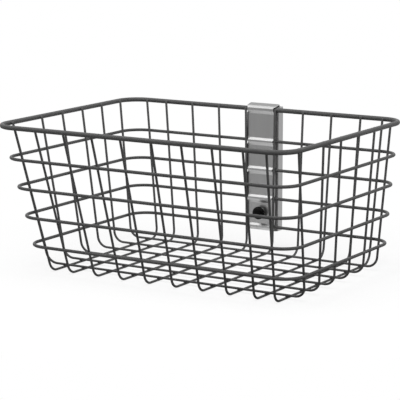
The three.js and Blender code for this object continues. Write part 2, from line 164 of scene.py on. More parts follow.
class BracketSettings(bpy.types.PropertyGroup):
    """Sizes of the pressed plate and the folded channel."""
    sheet: length("Sheet", "Thickness of the plate and the channel", 0.0015)
    edge: length("Edge", "Rounding of the cut edges", 0.0002)
    plate_width: length("Plate width", "Width of the plate between its notches", 0.0416)
    leg_gap: length("Leg gap", "Space between the back legs and the plate's flats", 0.0004)
    hoop_gap: length("Hoop gap", "Space between the hoops and the beads' crests", 0.0009)
    clearance: length("Clearance", "Running clearance round wires and the stud", 0.0003)
    wire_clearance: length("Wire clearance", "Space between a notch and the leg beside it", 0.0009)
    bead_rise: length("Bead rise", "Height of a bead's short upper side", 0.003)
    bead_fall: length("Bead fall", "Height of a bead's longer lower side", 0.0047)
    bead_drop: length("Bead drop", "How far a bead's middle lies below its hoop", 0.00075)
    bend: length("Bend", "Outer radius of the plate's bends", 0.0018)
    tail: length("Tail", "Height of the plate's tail under its lowest bead's crest", 0.0034)
    hook_lift: length("Hook lift", "Rise of the hook from the rim to its back", 0.0027)
    hook_lip: length("Hook lip", "Height of the lip behind the rim", 0.012)
    hook_bend: length("Hook bend", "Outer radius of the bend at the back of the hook", 0.0026)
    notch_round: length("Notch rounding", "Length over which a notch runs in", 0.0026)
    fold: length("Fold", "Outer radius of the channel's folds", 0.0025)
    lip: length("Lip", "Width of the lips that turn in at the channel's front", 0.006)
    lip_bend: length("Lip bend", "Outer radius of the bend into a lip", 0.0049)
    fixing_hole: length("Fixing hole", "Diameter of the holes for the cart's bolts", 0.0065)
    fixing_above_screw: length("Lower hole", "Height of the lower fixing hole above the screw", 0.0289)
    fixing_top_inset: length("Upper hole", "Depth of the upper fixing hole below the top", 0.039875)


class ScrewSettings(bpy.types.PropertyGroup):
    """Sizes of the thumb screw, its washer and its nut."""
    thread_pitch: length("Thread pitch", "Travel of the screw in one turn", 0.001)
    thread_depth: length("Thread depth", "Depth of the thread", 0.00055)
    stud_chamfer: length("Stud chamfer", "Chamfer at the stud's free end", 0.0007)
    knob_collar: length("Knob collar", "Height of the collar between the knob and its washer", 0.0023)
    collar_width: length("Collar width", "Diameter of the knob's collar", 0.011)
    knob_skirt: length("Knob skirt", "Height of the knob's upright rim", 0.0022)
    socket_clearance: length("Socket clearance", "Space between the stud and the knob round it", 0.0002)
    crown_wall: length("Crown wall", "Plastic over the end of the stud", 0.0023)
    rib_depth: length("Rib depth", "Depth of the grip ribs in the knob's rim", 0.00016)
    ribs: count("Ribs", "Grip ribs round the knob", 36, 6, 72)
    edge: length("Edge", "Chamfer on the washer and the nut", 0.0002)


class FinishSettings(bpy.types.PropertyGroup):
    """Colours of the four finishes."""
    coat: colour("Coat", "Graphite powder coat", (0.072, 0.072, 0.072))
    sheet: colour("Sheet", "Satin silver sheet metal", (0.57, 0.57, 0.57))
    sheet_edge: share("Sheet edge", "Brightness of the sheet's mirror reflection at a glancing angle", 0.30)
    zinc: colour("Zinc", "Bright zinc plating", (0.61, 0.61, 0.61))
    plastic: colour("Plastic", "Black moulded plastic", (0.0025, 0.0025, 0.0025))


class StageSettings(bpy.types.PropertyGroup):
    """Camera, lamps and floor."""
    lens: number("Lens", "Focal length on a 36 mm sensor", 165.898, min=10.0, unit="CAMERA")
    camera_place: FloatVectorProperty(
        name="Camera", description="Camera's place", default=(1.1710, -1.92556, 0.51301),
        unit="LENGTH", size=3)
    camera_tilt: angle("Camera tilt", "Downward tilt of the camera", 0.1854192)
    camera_turn: angle("Camera turn", "Turn of the camera about the upright", 0.5489229)
    top_power: power("Top lamp", "Power of the soft lamp overhead", 58.0)
    key_power: power("Key lamp", "Power of the soft lamp at the front", 4.0)
    side_power: power("Side lamp", "Power of the soft lamp at the right", 12.0)
    world_level: share("World level", "Soft light from all round", 0.2, max=4.0)
    card_left: share("Card left", "Brightness of the card that the metal mirrors at the front left", 0.48)
    card_right: share("Card right", "Brightness of that card at the right, where the camera stands", 0.01)
    card_back: share("Card back", "Brightness of that card behind the basket at the right", 0.78)
    floor_size: length("Floor size", "Side of the floor", 40.0)
    floor_glow: share("Floor whiteness", "Share of plain white mixed into the floor under the basket", 0.8)
    floor_bounce: share("Floor bounce", "Share of light that the floor throws back on the basket", 0.35)
    floor_near: length("Shadow reach", "Distance from the middle up to which shadows show in full", 0.24)
    floor_far: length("White from", "Distance from the middle from which the floor is plain white", 0.45)


class BasketSettings(bpy.types.PropertyGroup):
    """All the settings of the basket."""
    wires: PointerProperty(name="Wires", description="Bent wires", type=WireSettings)
    bracket: PointerProperty(name="Bracket", description="Plate and channel", type=BracketSettings)
    screw: PointerProperty(name="Screw", description="Thumb screw", type=ScrewSettings)
    finish: PointerProperty(name="Finish", description="Colours", type=FinishSettings)
    stage: PointerProperty(name="Stage", description="Camera and lamps", type=StageSettings)


def box_of(node):
    """Low and high corner of a CAD node in metres."""
    low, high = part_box(node)
    return np.array(low), np.array(high)


def unit(vectors):
    """Vectors, or one vector, at length one."""
    return vectors / np.linalg.norm(vectors, axis=-1, keepdims=True)


def smooth_step(value, start, end):
    """Runs from 0 at the start to 1 at the end with level ends."""
    t = np.clip((value - start) / (end - start), 0, 1)
    return t * t * (3 - 2 * t)


def round_angles(sides):
    """Evenly spaced angles once round."""
    return np.linspace(0, 2 * math.pi, sides, endpoint=False)


def measure_basket():
    """Wall lines and wire radii, worked out from the CAD boxes.

    The hoops follow straight walls, so a wall's line comes from the highest and the lowest hoop: a hoop's
    centre less the stand-off, which grows by the lean of the wall when it is measured level.
    """
    rim_low, rim_high = box_of("rim_wire")
    long_low, long_high = box_of(LONG_NODES[0])
    lows, highs = (np.array(corners) for corners in zip(*map(box_of, HOOP_NODES)))
    heights = (lows[:, 2] + highs[:, 2]) / 2
    basket = SimpleNamespace(hoop_heights=heights)
    basket.rim_radius = (rim_high[2] - rim_low[2]) / 2
    basket.hoop_radius = (highs[0, 2] - lows[0, 2]) / 2
    basket.mesh_radius = (long_high[1] - long_low[1]) / 2
    basket.rim_height = (rim_high[2] + rim_low[2]) / 2
    basket.back = box_of(CROSS_NODES[0])[1][1] - basket.mesh_radius
    basket.hoop_stand_off = highs[0, 1] - basket.hoop_radius - basket.back
    basket.rim_stand_off = rim_high[1] - basket.rim_radius - basket.back
    basket.floor_level = basket.mesh_radius
    basket.long_level = long_low[2] + basket.mesh_radius
    ends = highs[:, 0] - basket.hoop_radius
    fronts = lows[:, 1] + basket.hoop_radius
    basket.end_slope, basket.front_slope = (
        (line[0] - line[-1]) / (heights[0] - heights[-1]) for line in (ends, fronts))
    basket.end_lean = math.hypot(1, basket.end_slope)
    basket.front_lean = math.hypot(1, basket.front_slope)
    end_start = ends[0] - basket.hoop_stand_off * basket.end_lean
    front_start = fronts[0] + basket.hoop_stand_off * basket.front_lean
    basket.end_at = lambda z: end_start + basket.end_slope * (z - heights[0])
    basket.front_at = lambda z: front_start + basket.front_slope * (z - heights[0])
    return basket


BASKET = measure_basket()


def wire_top(settings):
    """Height at which the wall wires end."""
    return BASKET.rim_height + settings.wires.leg_rise


def leaning(floor, mouth, low, high):
    """Straight line through a place at the floor and a place at the mouth, as a function of height."""
    return lambda z: floor + (mouth - floor) * (z - low) / (high - low)


def cross_line(node, top):
    """Place of a cross wire along X at any height."""
    low, high = box_of(node)
    near, far = low[0] + BASKET.mesh_radius, high[0] - BASKET.mesh_radius
    floor, mouth = (near, far) if near + far > 0 else (far, near)
    return leaning(floor, mouth, BASKET.floor_level, top)


def long_line(node, top):
    """Place of a long wire along Y at any height."""
    low, high = box_of(node)
    floor, mouth = high[1] - BASKET.mesh_radius, low[1] + BASKET.mesh_radius
    return leaning(floor, mouth, BASKET.long_level, top)


def corner_arc(before, corner, after, radius, steps):
    """Arc that touches both legs of a corner.

    With the opening angle o between the legs, the centre lies on the bisector at radius / sin(o / 2), and
    the point at share t is the spherical blend of the two touching points round that centre.
    """
    first = unit(before - corner)
    second = unit(after - corner)
    opening = math.acos(float(np.clip(first @ second, -1, 1)))
    turn = math.pi - opening
    centre = corner + unit(first + second) * radius / math.sin(opening / 2)
    start = corner + first * radius / math.tan(opening / 2) - centre
    end = corner + second * radius / math.tan(opening / 2) - centre
    t = np.linspace(0, 1, steps + 1)[:, None]
    return centre + (np.sin((1 - t) * turn) * start + np.sin(t * turn) * end) / math.sin(turn)


def rounded_route(corners, radii, steps):
    """Open route through corners, each inner corner turned by an arc."""
    corners = np.asarray(corners, dtype=float)
    arcs = [corner_arc(*corners[i:i + 3], radius, steps) for i, radius in enumerate(radii)]
    return np.concatenate([corners[:1], *arcs, corners[-1:]])


def rounded_loop(corners, radius, steps):
    """Closed route through corners, each turned by an arc."""
    corners = [corners[-1], *corners, corners[0]]
    return rounded_route(corners, [radius] * (len(corners) - 2), steps)[1:-1]


def grid_quads(rows, columns, closed_rows=False, closed_columns=True):
    """Quads of a grid of points whose rows and columns close on themselves where asked."""
    index = np.arange(rows * columns).reshape(rows, columns)
    if closed_columns:
        index = np.concatenate([index, index[:, :1]], axis=1)
    if closed_rows:
        index = np.concatenate([index, index[:1]], axis=0)
    quads = np.stack([index[:-1, :-1], index[1:, :-1], index[1:, 1:], index[:-1, 1:]], axis=-1)
    return quads.reshape(-1, 4).tolist()


def route_tangents(route, closed):
    """Unit directions along a route, halfway between the runs before and after each point."""
    if closed:
        before = unit(route - np.roll(route, 1, axis=0))
        after = unit(np.roll(route, -1, axis=0) - route)
        return unit(before + after)
    runs = unit(np.diff(route, axis=0))
    return unit(np.concatenate([runs[:1], runs]) + np.concatenate([runs, runs[-1:]]))


def wire_surface(route, normal, radius, wires, closed):
    """Round wire: a circle carried along a flat route.

    The point at angle a is centre + radius * (cos a * side + sin a * normal), with side square to the
    route in its own plane. An open wire's end is half an ellipsoid: at angle b the ring moves out by
    depth * sin b and shrinks by cos b.
    """
    tangent = route_tangents(route, closed)
    radii = np.full(len(route), radius)
    if not closed:
        b = np.linspace(0, math.pi / 2, WIRE_END_RINGS + 1)[1:]
        step = (wires.end_round * radius * np.sin(b))[:, None]
        start = route[0] - tangent[0] * step[::-1]
        end = route[-1] + tangent[-1] * step
        route = np.concatenate([start, route, end])
        radii = np.concatenate([radius * np.cos(b)[::-1], radii, radius * np.cos(b)])
        tangent = np.pad(tangent, ((WIRE_END_RINGS, WIRE_END_RINGS), (0, 0)), mode="edge")
    side = unit(np.cross(normal, tangent))
    a = round_angles(wires.sides)[None, :, None]
    ring = np.cos(a) * side[:, None, :] + np.sin(a) * normal
    vertices = route[:, None, :] + radii[:, None, None] * ring
    return vertices.reshape(-1, 3), grid_quads(len(route), wires.sides, closed)


def link_object(name, data):
    """A new object at the origin that shows a mesh, a lamp or a camera."""
    made = bpy.data.objects.new(name, data)
    bpy.context.scene.collection.objects.link(made)
    return made


def clean_mesh(mesh):
    """Merges doubled points, turns the faces outwards and shades them smooth up to a limit angle."""
    work = bmesh.new()
    work.from_mesh(mesh)
    bmesh.ops.remove_doubles(work, verts=work.verts, dist=MERGE_DISTANCE)
    bmesh.ops.dissolve_degenerate(work, edges=work.edges, dist=MERGE_DISTANCE)
    bmesh.ops.recalc_face_normals(work, faces=work.faces)
    work.to_mesh(mesh)
    work.free()
    mesh.polygons.foreach_set("use_smooth", np.ones(len(mesh.polygons), dtype=bool))
    mesh.set_sharp_from_angle(angle=SMOOTH_ANGLE)


def new_piece(name, vertices, faces, material, edge_mask=None):
    """A finished mesh object at the origin, with doubled points merged and its faces turned outwards."""
    mesh = bpy.data.meshes.new(name)
    mesh.from_pydata(vertices.tolist(), [], faces)
    if edge_mask is not None:
        mesh.attributes.new("cut_edge", "FLOAT", "POINT").data.foreach_set("value", edge_mask)
    clean_mesh(mesh)
    mesh.materials.append(material)
    return link_object(name, mesh)


def seat(piece, body, slot, *nodes):
    """Puts a piece on its body, in place of its CAD nodes. Its slot is not used."""
    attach(piece, body)
    if nodes:
        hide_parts(*nodes)


def make_piece(name, surface, body, slot, settings, *nodes):
    """Makes a piece from points and faces in its slot's finish, and seats it."""
    points, faces = surface
    seat(new_piece(name, points, faces, finish_of(slot, settings)), body, slot, *nodes)


def turned(radii, depths, angles, centre):
    """Surface turned about an axis along Y: radius r, depth d in front of the centre and angle a give
    (r cos a, -d, r sin a). Radii may differ from angle to angle."""
    radii = np.broadcast_to(radii, (len(depths), len(angles)))
    depths = np.broadcast_to(np.asarray(depths)[:, None], radii.shape)
    points = np.stack([radii * np.cos(angles), -depths, radii * np.sin(angles)], axis=-1)
    return (points + centre).reshape(-1, 3)


def punch(piece, radius, centre, depth):
    """Cuts a round hole along Y through a piece."""
    radii = np.array([0, radius, radius, 0])[:, None]
    depths = np.array([-depth, -depth, depth, depth])
    points = turned(radii, depths, round_angles(HOLE_SIDES), np.asarray(centre))
    drill = new_piece("drill", points, grid_quads(len(depths), HOLE_SIDES), piece.data.materials[0])
    hole = piece.modifiers.new("hole", "BOOLEAN")
    hole.operation = "DIFFERENCE"
    hole.solver = "EXACT"
    hole.object = drill
    depsgraph = bpy.context.evaluated_depsgraph_get()
    before = piece.data
    piece.data = bpy.data.meshes.new_from_object(piece.evaluated_get(depsgraph))
    piece.modifiers.clear()
    bpy.data.meshes.remove(before)
    bpy.data.objects.remove(drill)
    piece.data.set_sharp_from_angle(angle=SMOOTH_ANGLE)


def feed(tree, value, socket):
    """Links a socket to another one, or sets a value on it."""
    if isinstance(value, bpy.types.NodeSocket):
        tree.links.new(value, socket)
    else:
        socket.default_value = value


def add_node(tree, kind, **inputs):
    """A shader node with its sockets fed, where underscores in a name stand for spaces."""
    made = tree.nodes.new(kind)
    for name, value in inputs.items():
        feed(tree, value, made.inputs[name.replace("_", " ")])
    return made


def add_noise(tree, coordinates, scale, detail, roughness=0.5):
    """Fractal noise between 0 and 1."""
    return add_node(tree, "ShaderNodeTexNoise", Vector=coordinates, Scale=scale, Detail=detail,
                    Roughness=roughness).outputs[0]


def add_range(tree, value, low, high):
    """Maps a value that runs from 0 to 1 to another range."""
    return add_node(tree, "ShaderNodeMapRange", Value=value, To_Min=low, To_Max=high).outputs["Result"]


def add_math(tree, operation, first, second):
    """Works out one value from two sockets."""
    made = tree.nodes.new("ShaderNodeMath")
    made.operation = operation
    tree.links.new(first, made.inputs[0])
    tree.links.new(second, made.inputs[1])
    return made.outputs[0]


def add_attribute(tree, name):
    """A value that the mesh stores at its points."""
    made = tree.nodes.new("ShaderNodeAttribute")
    made.attribute_name = name
    return made.outputs["Fac"]


def object_place(tree):
    """Object coordinates."""
    return tree.nodes.new("ShaderNodeTexCoord").outputs["Object"]


def add_mix(tree, factor, first, second):
    """Blends two colours. Either may be a socket or a linear colour."""
    mix = tree.nodes.new("ShaderNodeMix")
    mix.data_type = "RGBA"
    tree.links.new(factor, mix.inputs["Factor"])
    for name, value in (("A", first), ("B", second)):
        socket = next(s for s in mix.inputs if s.name == name and s.type == "RGBA")
        feed(tree, (*value, 1.0) if isinstance(value, tuple) else value, socket)
    return next(s for s in mix.outputs if s.type == "RGBA")


def scaled(tone, factor):
    """A linear colour made lighter or darker."""
    return tuple(min(1.0, channel * factor) for channel in tone)


def new_group(name, outputs, scale_name, scale):
    """An empty node group with outputs and one input."""
    tree = bpy.data.node_groups.new(name, "ShaderNodeTree")
    given = tree.interface.new_socket(scale_name, in_out="INPUT", socket_type="NodeSocketFloat")
    given.default_value = scale
    for socket in outputs:
        tree.interface.new_socket(socket, in_out="OUTPUT", socket_type="NodeSocketFloat")
    return tree, tree.nodes.new("NodeGroupInput").outputs[scale_name]


def grain_group(name):
    """Fine grain, slow mottling and sparse specks on Object coordinates, each between 0 and 1."""
    tree, scale = new_group(name, ("Grain", "Mottle", "Specks"), "Grain Scale", 1500.0)
    place = object_place(tree)
    grain = add_noise(tree, place, scale, detail=3.0)
    mottle = add_noise(tree, place, scale=55.0, detail=4.0, roughness=0.6)
    speck_noise = add_noise(tree, place, scale=620.0, detail=1.0)
    specks = add_node(tree, "ShaderNodeMapRange", Value=speck_noise, From_Min=0.66, From_Max=0.74)
    add_node(tree, "NodeGroupOutput", Grain=grain, Mottle=mottle, Specks=specks.outputs["Result"])
    return tree


def rolling_group(name):
    """Long fine lines that the rolling mill leaves along the sheet, as a value between 0 and 1."""
    tree, scale = new_group(name, ("Lines",), "Fineness", 1.0)
    stretch = add_node(tree, "ShaderNodeMapping", Vector=object_place(tree), Scale=(2600.0, 2600.0, 45.0))
    lines = add_noise(tree, stretch.outputs["Vector"], scale, detail=2.0)
    add_node(tree, "NodeGroupOutput", Lines=lines)
    return tree


GROUPS = {"fine_grain": grain_group, "rolling_lines": rolling_group}


def use_group(tree, name):
    """A node that uses a shared group, which is made once."""
    made = tree.nodes.new("ShaderNodeGroup")
    made.node_tree = bpy.data.node_groups.get(name) or GROUPS[name](name)
    return made


def bare_tree(owner):
    """The emptied node tree of a material or a world."""
    owner.use_nodes = True
    owner.node_tree.nodes.clear()
    return owner.node_tree


def end_in(tree, shader, kind="ShaderNodeOutputMaterial"):
    """Shows a shader as the surface."""
    add_node(tree, kind, Surface=shader.outputs[0])


def new_material(name, **sockets):
    """An empty material with one principled shader, and values on the shader's own sockets."""
    material = bpy.data.materials.new(name)
    tree = bare_tree(material)
    shader = add_node(tree, "ShaderNodeBsdfPrincipled", **sockets)
    end_in(tree, shader)
    return material, tree, shader


def add_surface(tree, shader, tone, height, roughness, bump, depth):
    """Feeds the shader a tone, and a roughness and a bump that follow one height."""
    bumped = add_node(tree, "ShaderNodeBump", Strength=bump, Distance=depth, Height=height)
    tree.links.new(tone, shader.inputs["Base Color"])
    tree.links.new(add_range(tree, height, *roughness), shader.inputs["Roughness"])
    tree.links.new(bumped.outputs["Normal"], shader.inputs["Normal"])


def grained_material(name, base, grain_scale, mottle, specks, roughness, bump, depth, **sockets):
    """Mottled material with fine grain in its roughness and its bump, and specks where asked.

    Mottle holds the darkest and the lightest tone and specks their share and their tone, both as factors
    on the base colour. Roughness runs between two ends with the grain.
    """
    material, tree, shader = new_material(name, **sockets)
    grain = use_group(tree, "fine_grain")
    grain.inputs["Grain Scale"].default_value = grain_scale
    tone = add_mix(tree, grain.outputs["Mottle"], scaled(base, mottle[0]), scaled(base, mottle[1]))
    if specks:
        speck_share, speck_tone = specks
        shown = add_range(tree, grain.outputs["Specks"], 0.0, speck_share)
        tone = add_mix(tree, shown, tone, scaled(base, speck_tone))
    add_surface(tree, shader, tone, grain.outputs["Grain"], roughness, bump, depth)
    return material


def coat_material(name, finish):
    """Satin graphite powder coat: fine orange peel, slow mottling and a few paler specks."""
    return grained_material(
        name, finish.coat, grain_scale=1700.0, mottle=(0.86, 1.14), specks=(0.22, 1.9),
        roughness=(0.38, 0.56), bump=0.32, depth=0.0001, Specular_IOR_Level=0.2)


def zinc_material(name, finish):
    """Bright zinc plating: cloudy, slightly grainy metal."""
    return grained_material(
        name, finish.zinc, grain_scale=1500.0, mottle=(0.8, 1.15), specks=None,
        roughness=(0.22, 0.42), bump=0.15, depth=0.00005, Metallic=1.0)


def plastic_material(name, finish):
    """Black moulded plastic: fine spark-eroded grain and a little pale dust."""
    return grained_material(
        name, finish.plastic, grain_scale=2600.0, mottle=(0.8, 1.4), specks=(0.3, 4.0),
        roughness=(0.28, 0.44), bump=0.2, depth=0.00005, Specular_IOR_Level=0.1)


def sheet_material(name, finish):
    """Satin silver sheet: rolling lines, slow mottling and brighter cut edges."""
    line_tones = (0.93, 1.07)
    cloud_share, cloud_tone = 0.3, 0.9
    edge_tone = 1.12
    tint = (*[finish.sheet_edge] * 3, 1.0)
    material, tree, shader = new_material(name, Metallic=1.0, Specular_Tint=tint)
    lines = use_group(tree, "rolling_lines").outputs["Lines"]
    clouds = add_range(tree, use_group(tree, "fine_grain").outputs["Mottle"], 0.0, cloud_share)
    tone = add_mix(tree, lines, scaled(finish.sheet, line_tones[0]), scaled(finish.sheet, line_tones[1]))
    tone = add_mix(tree, clouds, tone, scaled(finish.sheet, cloud_tone))
    tone = add_mix(tree, add_attribute(tree, "cut_edge"), tone, scaled(finish.sheet, edge_tone))
    add_surface(tree, shader, tone, lines, roughness=(0.32, 0.42), bump=0.12, depth=0.00005)
    return material


# Each material slot's material and the function that makes it.
FINISHES = {
    "powder_coat": ("graphite_powder_coat", coat_material),
    "bracket_metal": ("satin_silver_sheet", sheet_material),
    "zinc_hardware": ("bright_zinc", zinc_material),
    "knob_plastic": ("black_plastic", plastic_material),
}


def finish_of(slot, settings):
    """The material of a slot, made once."""
    name, make = FINISHES[slot]
    return bpy.data.materials.get(name) or make(name, settings.finish)


def make_wire(node, route, normal, radius, settings, closed):
    """Makes a round wire in place of its CAD node."""
    surface = wire_surface(route, normal, radius, settings.wires, closed)
    make_piece(f"{node}_round", surface, "basket", "powder_coat", settings, node)


def loop_corners(z, stand_off):
    """Corners of the rim or of a hoop, outside the mesh wires on all four walls."""
    end = BASKET.end_at(z) + stand_off * BASKET.end_lean
    front = BASKET.front_at(z) - stand_off * BASKET.front_lean
    back = BASKET.back + stand_off
    return [(end, front, z), (end, back, z), (-end, back, z), (-end, front, z)]


class WIREBASKET_OT_hoops(bpy.types.Operator):
    """Make the rim wire and the hoops"""
    bl_idname = "wire_basket.hoops"
    bl_label = "Rim and Hoops"

    def execute(self, context):
        settings = context.scene.wire_basket
        wires = settings.wires
        loops = [("rim_wire", BASKET.rim_height, BASKET.rim_radius, BASKET.rim_stand_off, wires.rim_corner)]
        for node, z in zip(HOOP_NODES, BASKET.hoop_heights):
            loops.append((node, z, BASKET.hoop_radius, BASKET.hoop_stand_off, wires.hoop_corner))
        for node, z, radius, stand_off, corner in loops:
            route = rounded_loop(loop_corners(z, stand_off), corner, wires.bend_steps)
            make_wire(node, route, Z_AXIS, radius, settings, closed=True)
        return {"FINISHED"}


def mesh_wire(node, corners, settings):
    """A wire that runs down one wall, along the floor and up the wall opposite, in one leaning plane."""
    corners = np.asarray(corners)
    wires = settings.wires
    normal = unit(np.cross(corners[2] - corners[1], corners[0] - corners[1]))
    route = rounded_route(corners, [wires.floor_bend] * 2, wires.bend_steps)
    make_wire(node, route, normal, BASKET.mesh_radius, settings, closed=False)


class WIREBASKET_OT_mesh_wires(bpy.types.Operator):
    """Make the cross wires and the long wires"""
    bl_idname = "wire_basket.mesh_wires"
    bl_label = "Mesh Wires"

    def execute(self, context):
        settings = context.scene.wire_basket
        top = wire_top(settings)
        low = BASKET.floor_level
        for node in CROSS_NODES:
            x = cross_line(node, top)
            mesh_wire(node, [
                (x(top), BASKET.front_at(top), top), (x(low), BASKET.front_at(low), low),
                (x(low), BASKET.back, low), (x(top), BASKET.back, top)], settings)
        low = BASKET.long_level
        for node in LONG_NODES:
            y = long_line(node, top)
            mesh_wire(node, [
                (-BASKET.end_at(top), y(top), top), (-BASKET.end_at(low), y(low), low),
                (BASKET.end_at(low), y(low), low), (BASKET.end_at(top), y(top), top)], settings)
        return {"FINISHED"}


def wall_welds(heights, gap, top):
    """Places and directions of the welds between the wall wires and the loops outside them."""
    places, directions = [], []
    end_out = unit(np.array([1.0, 0.0, -BASKET.end_slope]))
    front_out = unit(np.array([0.0, -1.0, BASKET.front_slope]))
    reach = BASKET.mesh_radius + gap / 2
    for z in heights:
        for node in CROSS_NODES:
            x = cross_line(node, top)(z)
            places += [(x, BASKET.front_at(z), z) + front_out * reach, (x, BASKET.back + reach, z)]
            directions += [front_out, (0.0, 1.0, 0.0)]
        for node in LONG_NODES:
            y = long_line(node, top)(z)
            for side in (-1.0, 1.0):
                out = end_out * (side, 1.0, 1.0)
                places.append(np.array((side * BASKET.end_at(z), y, z)) + out * reach)
                directions.append(out)
    return np.array(places), np.array(directions)


def floor_welds(top):
    """Places and directions of the welds between the cross wires and the long wires on the floor."""
    z = (BASKET.floor_level + BASKET.long_level) / 2
    xs = np.array([cross_line(node, top)(BASKET.floor_level) for node in CROSS_NODES])
    ys = np.array([long_line(node, top)(BASKET.long_level) for node in LONG_NODES])
    places = np.stack(np.meshgrid(xs, ys, [z]), axis=-1).reshape(-1, 3)
    return places, np.tile(Z_AXIS, (len(places), 1))


def spot_cloud(places, directions, wires):
    """Flat ellipsoids, one at each place: at the angles a and b a point is
    reach * cos b * (cos a * first + sin a * second) + depth * sin b * direction."""
    a = round_angles(SPOT_SIDES)
    b = np.linspace(-math.pi / 2, math.pi / 2, SPOT_RINGS)
    far_from_x = np.abs(directions[:, :1]) < math.sqrt(0.5)
    helper = np.where(far_from_x, (1.0, 0.0, 0.0), (0.0, 1.0, 0.0))
    first = unit(np.cross(directions, helper))
    second = np.cross(directions, first)
    flat = np.cos(a)[None, :, None] * first[:, None, :] + np.sin(a)[None, :, None] * second[:, None, :]
    ring = wires.weld_reach * np.cos(b)[None, :, None, None] * flat[:, None, :, :]
    lift = wires.weld_depth * np.sin(b)[None, :, None, None] * directions[:, None, None, :]
    points = (places[:, None, None, :] + ring + lift).reshape(-1, 3)
    quads = np.array(grid_quads(SPOT_RINGS, SPOT_SIDES))
    offsets = np.arange(len(places))[:, None, None] * (SPOT_RINGS * SPOT_SIDES)
    return points, (quads[None] + offsets).reshape(-1, 4).tolist()


class WIREBASKET_OT_welds(bpy.types.Operator):
    """Make the weld spots where the wires cross"""
    bl_idname = "wire_basket.welds"
    bl_label = "Weld Spots"

    def execute(self, context):
        settings = context.scene.wire_basket
        top = wire_top(settings)
        gap = BASKET.hoop_stand_off - BASKET.hoop_radius - BASKET.mesh_radius
        walls = wall_welds([BASKET.rim_height, *BASKET.hoop_heights], gap, top)
        places, directions = (np.concatenate(pair) for pair in zip(walls, floor_welds(top)))
        surface = spot_cloud(places, directions, settings.wires)
        make_piece("weld_spots", surface, "basket", "powder_coat", settings)
        return {"FINISHED"}


def sheet_section(sheet, edge):
    """Ring of a thin strip's section, once round.

    Each point has a share across the strip, a shift in from the nearer side, a depth into the sheet and a
    mark that is 1 on the cut edge. The four corners are quarter circles.
    """
    b = np.linspace(0, math.pi / 2, SHEET_CORNER_POINTS)
    rim = np.concatenate([1 - np.sin(b), 1 - np.cos(b)]) * edge
    depth = np.concatenate([edge * (1 - np.cos(b)), sheet - edge * (1 - np.sin(b))])
    flat = np.zeros(SHEET_FACE_POINTS)
    ones = np.ones(len(rim))
    face_share = np.linspace(0, 1, SHEET_FACE_POINTS)
    face_shift = flat.copy()
    face_shift[[0, -1]] = SHEET_MARGIN * edge, -SHEET_MARGIN * edge
    shares = np.concatenate([face_share, ones, face_share[::-1], 0 * ones])
    shifts = np.concatenate([face_shift, -rim, face_shift[::-1], rim])
    depths = np.concatenate([flat, depth, flat + sheet, depth[::-1]])
    marks = np.concatenate([flat, ones, flat, ones])
    return shares, shifts, depths, marks


def bent_strip(route, across, low, high, bracket):
    """Bent sheet: a thin section carried along a route on its outer face.

    At each point of the route the section lies between two distances along one direction, and its depth
    runs along the mitred normal on the right of the route. The first and the last section are drawn in by
    the edge's rounding, which chamfers the ends.
    """
    runs = unit(np.diff(route, axis=0))
    right = np.cross(runs, across)
    before = np.concatenate([right[:1], right])
    after = np.concatenate([right, right[-1:]])
    into = unit(before + after)
    into = into / np.sum(into * before, axis=1, keepdims=True)
    shares, shifts, depths, marks = sheet_section(bracket.sheet, bracket.edge)
    inset = np.zeros((len(route), 1))
    inset[[0, -1]] = bracket.edge
    along = low[:, None] * (1 - shares) + high[:, None] * shares + shifts
    along = np.clip(along, low[:, None] + inset, high[:, None] - inset)
    deep = np.clip(depths[None, :], inset, bracket.sheet - inset)
    points = route[:, None, :] + along[:, :, None] * across + deep[:, :, None] * into[:, None, :]
    ring = len(shares)
    faces = grid_quads(len(route), ring)
    faces += [list(range(ring)), list(range((len(route) - 1) * ring, len(route) * ring))]
    return points.reshape(-1, 3), faces, np.tile(marks, len(route))


def make_sheet(name, node, strip, holes, settings):
    """Makes a piece of bent sheet with round holes, each given by its radius and its centre."""
    points, faces, marks = strip
    piece = new_piece(name, points, faces, finish_of("bracket_metal", settings), marks)
    for radius, centre in holes:
        punch(piece, radius, centre, 2 * settings.bracket.sheet)
    seat(piece, "basket", "bracket_metal", node)


def resample(route, edge, step):
    """Adds points to a route at even steps along it and at the rounding of its two ends."""
    runs = np.linalg.norm(np.diff(route, axis=0), axis=1)
    distance = np.concatenate([[0.0], np.cumsum(runs)])
    total = distance[-1]
    wanted = np.concatenate([distance, np.arange(0.0, total, step), [edge, total - edge]])
    wanted = np.unique(np.round(wanted, ROUTE_DIGITS))
    return np.stack([np.interp(wanted, distance, route[:, i]) for i in range(3)], axis=1)


def screw_place():
    """Radius of the stud and height of the screw's axis."""
    low, high = box_of("screw_stud")
    return (high[0] - low[0]) / 2, (low[2] + high[2]) / 2


def plate_levels(bracket):
    """Depths of the plate's front face along Y at its beads and at its flats."""
    hoop_inside = BASKET.back + BASKET.hoop_stand_off - BASKET.hoop_radius
    crest = hoop_inside - bracket.hoop_gap - bracket.sheet
    return crest, BASKET.back + BASKET.mesh_radius + bracket.leg_gap


def bead_levels(z, radius, bracket):
    """Heights on the plate's front face where a bead starts, crests and ends.

    The crest is as tall as if it and both sides touched one circle: it meets a side at the circle's radius
    times the tangent of half the side's lean.
    """
    crest, flat = plate_levels(bracket)
    wrap = radius + bracket.clearance + bracket.sheet
    crest_low = z - wrap * math.tan(math.atan2(flat - crest, bracket.bead_fall) / 2)
    crest_high = z + wrap * math.tan(math.atan2(flat - crest, bracket.bead_rise) / 2)
    return crest_low - bracket.bead_fall, crest_low, crest_high, crest_high + bracket.bead_rise


